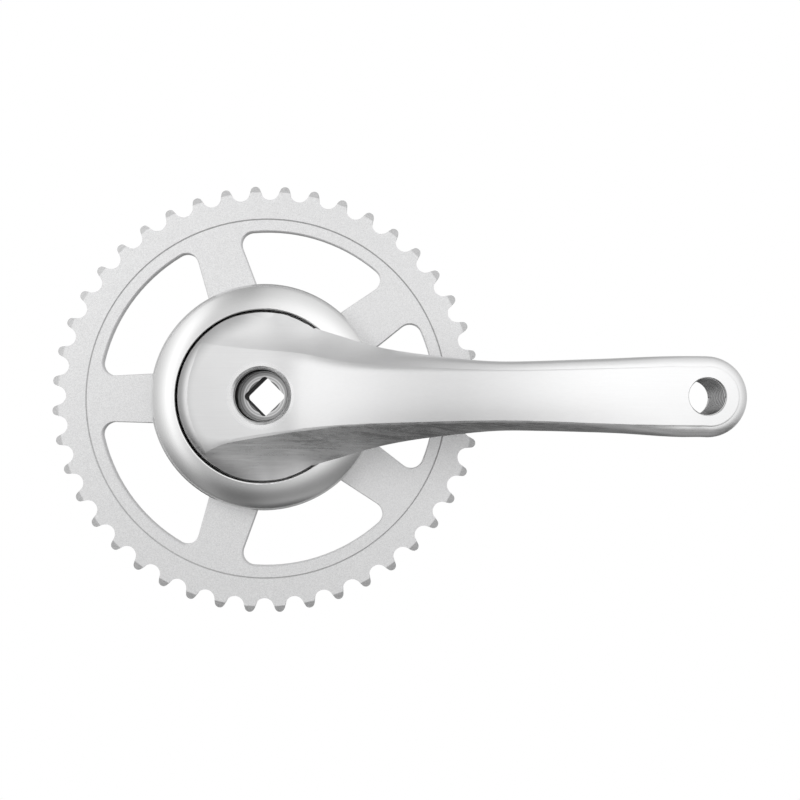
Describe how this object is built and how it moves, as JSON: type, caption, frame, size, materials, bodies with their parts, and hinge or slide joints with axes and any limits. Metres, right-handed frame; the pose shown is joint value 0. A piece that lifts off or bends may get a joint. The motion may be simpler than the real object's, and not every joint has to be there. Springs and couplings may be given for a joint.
{
  "type": "bicycle crankset",
  "caption": "Right-hand bicycle crankset: aluminium crank arm with a square-taper boss, riveted steel chainring with curved windows, and a domed trim ring.",
  "frame": {"origin": "on the bottom-bracket spindle's axis, in the middle plane of the chainring", "axes": "+X along the crank arm to the pedal, -Y outboard (towards the rider's foot), +Y inboard along the spindle, +Z square to both"},
  "size_m": [0.2771, 0.0503, 0.182],
  "materials": {
    "forged_aluminium": "brushed and buffed to a satin, brighter on the outboard face",
    "painted_steel": "matte silver paint with a fine metallic sparkle",
    "satin_steel": "satin nickel plate on pressed steel",
    "rivet_steel": "zinc plated"
  },
  "bodies": {
    "root": {"crank_arm": "forged_aluminium", "chainring": "painted_steel", "trim_ring": "satin_steel", "chainring_rivet_1": "rivet_steel", "chainring_rivet_2": "rivet_steel", "chainring_rivet_3": "rivet_steel", "chainring_rivet_4": "rivet_steel", "chainring_rivet_5": "rivet_steel"}
  },
  "joints": []
}
